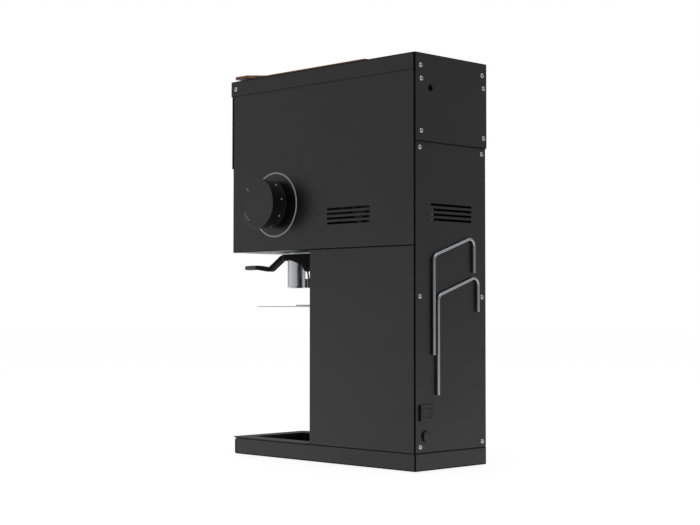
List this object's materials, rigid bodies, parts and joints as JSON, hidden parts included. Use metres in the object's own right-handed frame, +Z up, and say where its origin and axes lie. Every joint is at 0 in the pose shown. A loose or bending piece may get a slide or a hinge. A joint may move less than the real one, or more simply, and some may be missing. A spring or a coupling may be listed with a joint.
{
  "type": "bulk coffee grinder",
  "caption": "Tall black bulk coffee grinder with an overhanging head, side grind knob, wood lid, bag clamp under a steel spout, bag shelf and grounds tray.",
  "frame": {"origin": "centre of the bounding box in plan, at the surface it stands on", "axes": "+Z up, -Y to the front (the lever), +X to the side with the grind knob"},
  "size_m": [0.2204, 0.5134, 0.6766],
  "materials": {
    "body_paint": "black powder coat, satin, fine grain",
    "inner_steel": "plain galvanised sheet and frame steel",
    "polished_steel": "polished stainless steel",
    "cast_alloy": "cast aluminium, matt",
    "black_plastic": "black moulded plastic, fine texture",
    "black_rubber": "black rubber, matt",
    "lid_wood": "oiled mid-brown hardwood",
    "burr_steel": "hardened burr steel, dark, ground"
  },
  "bodies": {
    "body": {"base_pan": "body_paint", "foot_1": "black_rubber", "foot_2": "black_rubber", "foot_3": "black_rubber", "foot_4": "black_rubber", "column_side_right": "body_paint", "column_side_left": "body_paint", "column_front_panel": "body_paint", "rear_panel_lower": "body_paint", "rear_panel_upper": "body_paint", "head_side_right": "body_paint", "head_side_left": "body_paint", "head_front_lower": "body_paint", "head_front_upper": "body_paint", "head_floor_plate": "body_paint", "top_cap": "body_paint", "bean_hopper": "inner_steel", "main_frame": "inner_steel", "burr_housing": "cast_alloy", "chamber_cover": "cast_alloy", "fixed_burr": "burr_steel", "shaft_bearing_rear": "polished_steel", "knob_collar": "black_plastic", "motor_housing": "cast_alloy", "drive_belt": "black_rubber", "control_box": "inner_steel", "run_capacitor": "cast_alloy", "overload_breaker": "black_plastic", "mains_switch_body": "black_plastic", "cord_gland": "black_plastic", "button_bezel": "polished_steel", "outlet_spout": "polished_steel", "clamp_bracket": "body_paint", "lever_pin": "polished_steel", "jaw_pin": "polished_steel", "clamp_spring": "polished_steel", "wire_rack_upper": "polished_steel", "wire_rack_lower": "polished_steel"},
    "lid": {"wood_lid": "lid_wood"},
    "knob": {"grind_knob": "black_plastic", "adjuster_spindle": "polished_steel"},
    "sleeve": {"thrust_sleeve": "cast_alloy", "shaft_bearing_front": "polished_steel"},
    "burr_drive": {"burr_shaft": "polished_steel", "rotating_burr": "burr_steel", "feed_auger": "inner_steel", "driven_pulley": "cast_alloy"},
    "rotor": {"motor_rotor": "polished_steel", "motor_fan": "black_plastic", "motor_pulley": "cast_alloy"},
    "lever": {"clamp_lever": "body_paint", "lever_grip": "black_plastic"},
    "jaw": {"clamp_jaw": "polished_steel", "jaw_pad": "black_rubber"},
    "shelf": {"bag_shelf": "polished_steel", "shelf_bracket": "polished_steel"},
    "tray": {"grounds_tray": "body_paint"},
    "rocker": {"mains_rocker": "black_plastic"},
    "start": {"start_button": "black_plastic"},
    "reset": {"reset_button": "black_plastic"}
  },
  "joints": [
    {"name": "lid_lift", "type": "slide", "parent": "body", "child": "lid", "axis": [0, 0, 1], "range_m": [0, 0.05]},
    {"name": "knob_turn", "type": "hinge", "parent": "body", "child": "knob", "pos_m": [0.06665, -0.07975, 0.4395], "axis": [1, 0, 0], "range_deg": [-160, 160]},
    {"name": "gap_slide", "type": "slide", "parent": "body", "child": "sleeve", "axis": [1, 0, 0], "range_m": [-0.001, 0.001]},
    {"name": "burr_spin", "type": "hinge", "parent": "sleeve", "child": "burr_drive", "pos_m": [-0.02085, -0.07975, 0.4395], "axis": [1, 0, 0], "continuous": true},
    {"name": "rotor_spin", "type": "hinge", "parent": "body", "child": "rotor", "pos_m": [-0.02085, 0.13225, 0.4395], "axis": [1, 0, 0], "continuous": true},
    {"name": "lever_swing", "type": "hinge", "parent": "body", "child": "lever", "pos_m": [-0.02085, -0.06775, 0.3355], "axis": [1, 0, 0], "range_deg": [0, 20]},
    {"name": "jaw_swing", "type": "hinge", "parent": "body", "child": "jaw", "pos_m": [-0.02085, -0.09175, 0.3485], "axis": [1, 0, 0], "range_deg": [-16, 0]},
    {"name": "shelf_slide", "type": "slide", "parent": "body", "child": "shelf", "axis": [0, 0, 1], "range_m": [-0.155, 0.01]},
    {"name": "tray_lift", "type": "slide", "parent": "body", "child": "tray", "axis": [0, 0, 1], "range_m": [0, 0.03]},
    {"name": "mains_rock", "type": "hinge", "parent": "body", "child": "rocker", "pos_m": [0.04115, 0.25025, 0.0935], "axis": [0, 0, 1], "range_deg": [0, 12]},
    {"name": "start_press", "type": "slide", "parent": "body", "child": "start", "axis": [0, 1, 0], "range_m": [0, 0.003], "stiffness_N_per_m": 600, "springref_m": -0.002},
    {"name": "reset_press", "type": "slide", "parent": "body", "child": "reset", "axis": [0, -1, 0], "range_m": [0, 0.002], "stiffness_N_per_m": 600, "springref_m": -0.002}
  ],
  "couplings": [
    {"joint": "gap_slide", "follows": "knob_turn", "m_per_rad": 0.0003581},
    {"joint": "burr_spin", "follows": "rotor_spin", "ratio": 0.5},
    {"joint": "jaw_swing", "follows": "lever_swing", "ratio": -0.8}
  ]
}
